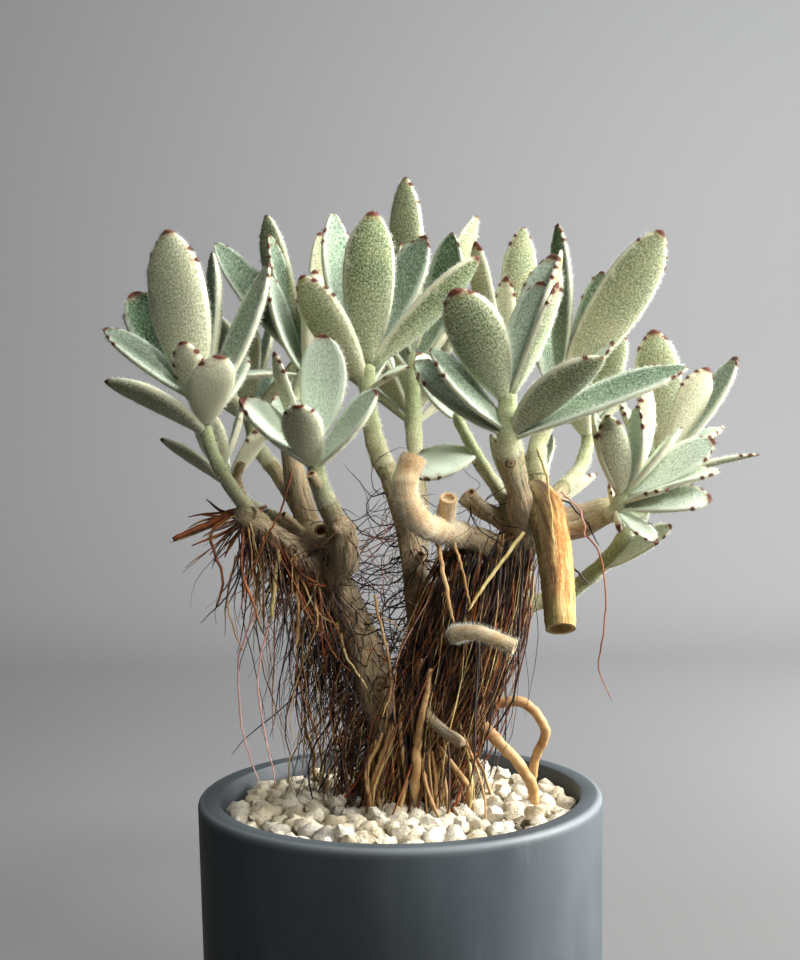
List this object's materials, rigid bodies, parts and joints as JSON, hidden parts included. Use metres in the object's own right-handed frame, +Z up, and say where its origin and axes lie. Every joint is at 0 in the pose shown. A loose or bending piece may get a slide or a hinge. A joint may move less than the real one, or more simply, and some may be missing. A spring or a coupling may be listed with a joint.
{
  "type": "potted succulent plant",
  "caption": "Bushy woolly-leaved succulent on bare forked stems with a mass of aerial roots, in a round pot topped with pale gravel.",
  "frame": {"origin": "centre of the pot's foot, on the surface that the pot stands on", "axes": "+Z up; +X to the right of the plant's front view; +Y towards its back"},
  "size_m": [0.234, 0.193, 0.373],
  "materials": {
    "pot": "matt dark blue-grey cast stoneware",
    "soil": "loose dark potting soil",
    "gravel": "rough pale pumice",
    "bark": "dry tan bark and dark thread-like roots",
    "leaf": "grey-green covered with short white hairs"
  },
  "bodies": {
    "root": {"pot": "pot", "soil": "soil", "gravel": "gravel", "trunk": "bark", "far_left_shoot": "leaf", "front_left_shoot": "leaf", "centre_shoot": "leaf", "back_tall_shoot": "leaf", "back_left_shoot": "leaf", "centre_right_shoot": "leaf", "right_back_shoot": "leaf", "back_right_shoot": "leaf", "far_right_shoot": "leaf", "right_shoot": "leaf", "thin_shoot": "leaf", "low_right_shoot": "leaf", "rear_left_shoot": "leaf", "rear_shoot": "leaf", "rear_right_shoot": "leaf", "left_low_shoot": "leaf", "low_rear_shoot": "leaf"}
  },
  "joints": []
}
